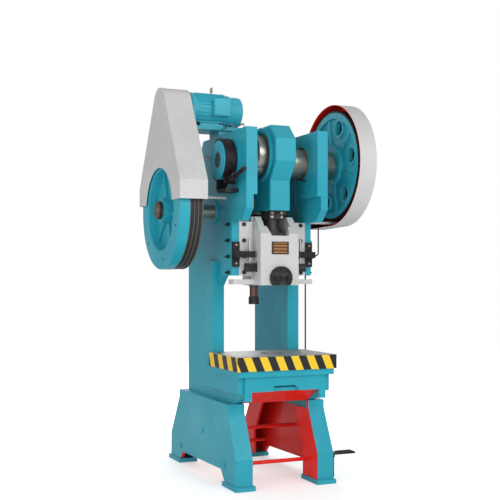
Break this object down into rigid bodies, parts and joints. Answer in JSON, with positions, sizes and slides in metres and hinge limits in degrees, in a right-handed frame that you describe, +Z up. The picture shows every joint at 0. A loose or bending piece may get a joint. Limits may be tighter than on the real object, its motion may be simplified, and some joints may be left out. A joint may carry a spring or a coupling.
{
  "type": "c-frame power press",
  "caption": "Open-front eccentric power press on two legs, with a geared flywheel drive, guided slide, bolster table, band brake and foot pedal.",
  "frame": {"origin": "middle of the bounding box, on the floor", "axes": "+X to the operator's right along the crankshaft, +Y to the back of the machine, +Z up"},
  "size_m": [1.072, 1.259, 2.254],
  "materials": {
    "teal_paint": "gloss turquoise enamel",
    "red_paint": "gloss red enamel",
    "grey_paint": "satin light grey enamel",
    "bolster_steel": "machined top, hazard stripes on the edges",
    "bright_steel": "ground and oiled",
    "dark_steel": "black oxide and black enamel",
    "bronze": "turned bronze",
    "belt_rubber": "matt rubber"
  },
  "bodies": {
    "frame": {"back_shaft_bushes": "bronze", "base_web": "teal_paint", "belt_guard": "grey_paint", "bolster": "bolster_steel", "brake_band": "dark_steel", "brake_bolt": "dark_steel", "brake_bracket": "dark_steel", "crank_bushes": "bronze", "drive_belts": "belt_rubber", "gear_guard": "grey_paint", "gib_bolts": "dark_steel", "gib_left": "grey_paint", "gib_right": "grey_paint", "gib_set_screws": "dark_steel", "guard_stays": "grey_paint", "head_back": "teal_paint", "head_web": "teal_paint", "leg_left": "teal_paint", "leg_right": "teal_paint", "lubricator": "dark_steel", "motor_base": "teal_paint", "motor_end_shield": "teal_paint", "motor_eyebolt": "bright_steel", "motor_fan_cover": "teal_paint", "motor_housing": "teal_paint", "motor_terminal_box": "teal_paint", "oil_tubes": "dark_steel", "pedal_guide": "dark_steel", "pivot_pins": "bright_steel", "side_frame_left": "teal_paint", "side_frame_right": "teal_paint", "stop_bracket_left": "dark_steel", "stop_bracket_right": "dark_steel", "stop_screws": "bright_steel", "table": "teal_paint", "tie_bars": "red_paint", "tie_nuts": "teal_paint"},
    "crank": {"crankshaft": "bright_steel", "brake_drum": "teal_paint"},
    "rod": {"connecting_rod": "teal_paint", "rod_bush": "bronze", "adjusting_screw": "dark_steel", "clamp_collar": "dark_steel", "collar_screws": "bright_steel"},
    "slide": {"slide": "grey_paint", "ball_seat": "dark_steel", "ball_cap": "dark_steel", "nameplate": "bronze", "shank_clamp": "dark_steel"},
    "knockout": {"knockout_bar": "dark_steel"},
    "gear": {"big_gear": "teal_paint"},
    "flywheel": {"flywheel": "teal_paint", "flywheel_cap": "dark_steel", "back_shaft": "bright_steel", "pinion": "dark_steel"},
    "rotor": {"motor_pulley": "dark_steel", "motor_shaft": "bright_steel"},
    "pedal": {"pedal": "dark_steel"},
    "pull_rod": {"pull_rod": "dark_steel"},
    "clutch_lever": {"clutch_lever": "dark_steel"}
  },
  "joints": [
    {"name": "crank_turn", "type": "hinge", "parent": "frame", "child": "crank", "pos_m": [0.056, -0.2795, 1.8], "axis": [-1, 0, 0], "range_deg": [0, 180]},
    {"name": "rod_swing", "type": "hinge", "parent": "crank", "child": "rod", "pos_m": [0.056, -0.2795, 1.84], "axis": [-1, 0, 0], "range_deg": [-180, 0]},
    {"name": "slide_stroke", "type": "slide", "parent": "frame", "child": "slide", "axis": [0, 0, 1], "range_m": [-0.08, 0]},
    {"name": "knockout_lift", "type": "slide", "parent": "slide", "child": "knockout", "axis": [0, 0, 1], "range_m": [0, 0.012]},
    {"name": "flywheel_spin", "type": "hinge", "parent": "frame", "child": "flywheel", "pos_m": [0.056, -0.00893, 1.53318], "axis": [-1, 0, 0], "continuous": true},
    {"name": "gear_spin", "type": "hinge", "parent": "frame", "child": "gear", "pos_m": [0.056, -0.2795, 1.8], "axis": [-1, 0, 0], "continuous": true},
    {"name": "rotor_spin", "type": "hinge", "parent": "frame", "child": "rotor", "pos_m": [0.056, -0.0165, 2.115], "axis": [-1, 0, 0], "continuous": true},
    {"name": "pedal_press", "type": "hinge", "parent": "frame", "child": "pedal", "pos_m": [0.363, 0.0035, 0.15], "axis": [1, 0, 0], "range_deg": [0, 6.5], "stiffness_Nm_per_rad": 60, "springref_deg": -20.05},
    {"name": "rod_pull", "type": "slide", "parent": "frame", "child": "pull_rod", "axis": [0, 0, 1], "range_m": [-0.00909, 0]},
    {"name": "clutch_trip", "type": "hinge", "parent": "frame", "child": "clutch_lever", "pos_m": [0.363, 0.0035, 1.268], "axis": [1, 0, 0], "range_deg": [0, 6.5]}
  ],
  "couplings": [
    {"joint": "rod_swing", "follows": "crank_turn", "ratio": -1},
    {"joint": "slide_stroke", "follows": "crank_turn", "m_per_rad": -0.025465},
    {"joint": "gear_spin", "follows": "flywheel_spin", "ratio": -0.216},
    {"joint": "rotor_spin", "follows": "flywheel_spin", "ratio": 6.0092},
    {"joint": "rod_pull", "follows": "pedal_press", "m_per_rad": -0.08},
    {"joint": "clutch_trip", "follows": "pedal_press", "ratio": 1}
  ]
}
